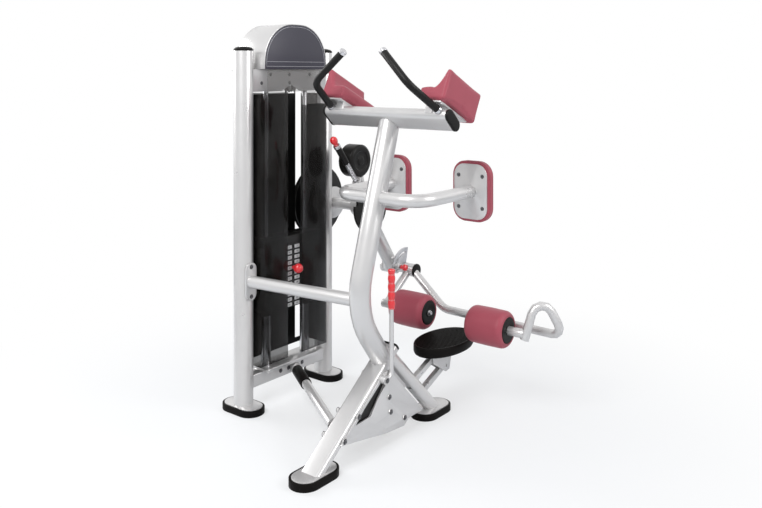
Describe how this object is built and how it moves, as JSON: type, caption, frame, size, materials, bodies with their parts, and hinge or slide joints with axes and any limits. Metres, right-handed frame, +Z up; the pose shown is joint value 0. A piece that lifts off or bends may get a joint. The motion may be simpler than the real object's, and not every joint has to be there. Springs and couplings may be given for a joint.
{
  "type": "ab crunch machine",
  "caption": "Selectorised abdominal machine: weight-stack tower tied to a stand with elbow pads, grips, back pads, foot platform and a counterbalanced arm with roller pads.",
  "frame": {"origin": "on the floor under the middle of the machine's outline", "axes": "+X from the weight tower to the stand, +Y from the front feet to the rear feet, +Z up"},
  "size_m": [1.3148, 1.2166, 1.709],
  "materials": {
    "frame_paint": "satin",
    "bright_steel": "polished",
    "black_plastic": "satin",
    "black_paint": "satin",
    "cast_plate": "painted",
    "floor_rubber": "matte",
    "upholstery": "satin",
    "red_plastic": "glossy",
    "slate_panel": "satin",
    "smoked_sheet": "glossy",
    "cable_sheath": "satin"
  },
  "bodies": {
    "frame": {"foot_tower_front": "floor_rubber", "foot_tower_rear": "floor_rubber", "foot_stand_front": "floor_rubber", "foot_stand_rear": "floor_rubber", "upright_front": "frame_paint", "upright_rear": "frame_paint", "stack_base": "frame_paint", "guide_rod_front": "bright_steel", "stack_riser_front": "bright_steel", "guide_rod_rear": "bright_steel", "stack_riser_rear": "bright_steel", "weight_plates_resting": "cast_plate", "head_frame": "frame_paint", "header_cover": "frame_paint", "header_panel": "slate_panel", "front_cover_left": "smoked_sheet", "front_cover_right": "smoked_sheet", "rear_cover": "black_plastic", "cable_stack": "cable_sheath", "cable_head": "cable_sheath", "axle_housing": "frame_paint", "front_leg": "frame_paint", "front_leg_cap": "black_plastic", "rear_leg": "frame_paint", "post": "frame_paint", "gusset_left": "frame_paint", "gusset_right": "frame_paint", "tie_bar": "frame_paint", "floor_strut": "frame_paint", "strut_sleeve": "floor_rubber", "top_bar": "frame_paint", "hand_grip_left": "black_plastic", "hand_grip_right": "black_plastic", "elbow_pad_right": "upholstery", "elbow_pad_left": "upholstery", "pad_bow": "frame_paint", "back_pad_left": "upholstery", "back_pad_right": "upholstery"},
    "cam_unit": {"cam_shaft": "black_paint"},
    "arm": {"swing_arm": "frame_paint", "counterweight": "black_paint"},
    "start_pin_unit": {"start_pin": "red_plastic"},
    "carrier": {"roller_carrier": "frame_paint"},
    "set_pin_unit": {"set_pin": "red_plastic"},
    "roller_left_unit": {"roller_left": "upholstery"},
    "roller_right_unit": {"roller_right": "upholstery"},
    "upper_link": {"link_upper": "frame_paint"},
    "lower_link": {"link_lower": "frame_paint"},
    "foot_platform": {"platform_tread": "floor_rubber", "platform_bracket": "frame_paint"},
    "lever_unit": {"platform_lever": "frame_paint"},
    "lifted_stack": {"top_plate": "cast_plate", "weight_plate_1": "cast_plate", "weight_plate_2": "cast_plate", "weight_plate_3": "cast_plate", "weight_plate_4": "cast_plate", "weight_plate_5": "cast_plate"},
    "selector": {"selector_pin": "red_plastic"},
    "inner_pulley": {"head_pulley_inner": "black_plastic"},
    "outer_pulley": {"head_pulley_outer": "black_plastic"}
  },
  "joints": [
    {"name": "arm_swing", "type": "hinge", "parent": "frame", "child": "cam_unit", "pos_m": [-0.51145, 0.34525, 0.842], "axis": [1, 0, 0], "range_deg": [0, 75]},
    {"name": "start_adjust", "type": "hinge", "parent": "cam_unit", "child": "arm", "pos_m": [-0.31145, 0.34525, 0.842], "axis": [1, 0, 0], "range_deg": [0, 39]},
    {"name": "start_pin_pull", "type": "slide", "parent": "arm", "child": "start_pin_unit", "axis": [0, -0.6157, 0.788], "range_m": [0, 0.018], "stiffness_N_per_m": 1200, "springref_m": -0.015},
    {"name": "roller_adjust", "type": "hinge", "parent": "arm", "child": "carrier", "pos_m": [-0.31145, 0.57725, 0.508], "axis": [1, 0, 0], "range_deg": [-51, 0]},
    {"name": "set_pin_pull", "type": "slide", "parent": "carrier", "child": "set_pin_unit", "axis": [1, 0, 0], "range_m": [0, 0.014], "stiffness_N_per_m": 600, "springref_m": -0.01},
    {"name": "roller_left_spin", "type": "hinge", "parent": "carrier", "child": "roller_left_unit", "pos_m": [-0.05645, 0.39525, 0.38], "axis": [1, 0, 0], "continuous": true},
    {"name": "roller_right_spin", "type": "hinge", "parent": "carrier", "child": "roller_right_unit", "pos_m": [0.35955, 0.39525, 0.38], "axis": [1, 0, 0], "continuous": true},
    {"name": "platform_lift", "type": "hinge", "parent": "frame", "child": "upper_link", "pos_m": [0.15155, 0.09125, 0.171], "axis": [1, 0, 0], "range_deg": [-12, 12]},
    {"name": "platform_lower_link", "type": "hinge", "parent": "frame", "child": "lower_link", "pos_m": [0.15155, 0.17325, 0.115], "axis": [1, 0, 0], "range_deg": [-12, 12]},
    {"name": "platform_level", "type": "hinge", "parent": "upper_link", "child": "foot_platform", "pos_m": [0.15155, 0.25826, 0.23814], "axis": [1, 0, 0], "range_deg": [-12, 12]},
    {"name": "lever_pull", "type": "hinge", "parent": "frame", "child": "lever_unit", "pos_m": [0.21095, -0.15875, 0.276], "axis": [-1, 0, 0], "range_deg": [0, 15], "stiffness_Nm_per_rad": 6, "springref_deg": -22.92},
    {"name": "stack_lift", "type": "slide", "parent": "frame", "child": "lifted_stack", "axis": [0, 0, 1], "range_m": [0, 0.22], "deforming": ["cable_stack"]},
    {"name": "selector_pull", "type": "slide", "parent": "lifted_stack", "child": "selector", "axis": [1, 0, 0], "range_m": [0, 0.06]},
    {"name": "inner_pulley_turn", "type": "hinge", "parent": "frame", "child": "inner_pulley", "pos_m": [-0.53331, 0.05111, 1.44], "axis": [-0.8538, -0.5206, 0], "range_deg": [0, 300]},
    {"name": "outer_pulley_turn", "type": "hinge", "parent": "frame", "child": "outer_pulley", "pos_m": [-0.58958, 0.14339, 1.44], "axis": [-0.8538, -0.5206, 0], "range_deg": [0, 300]}
  ],
  "couplings": [
    {"joint": "stack_lift", "follows": "arm_swing", "m_per_rad": 0.166},
    {"joint": "inner_pulley_turn", "follows": "arm_swing", "ratio": 3.9524},
    {"joint": "outer_pulley_turn", "follows": "arm_swing", "ratio": 3.9524},
    {"joint": "platform_lower_link", "follows": "platform_lift", "ratio": 1},
    {"joint": "platform_level", "follows": "platform_lift", "ratio": -1}
  ]
}
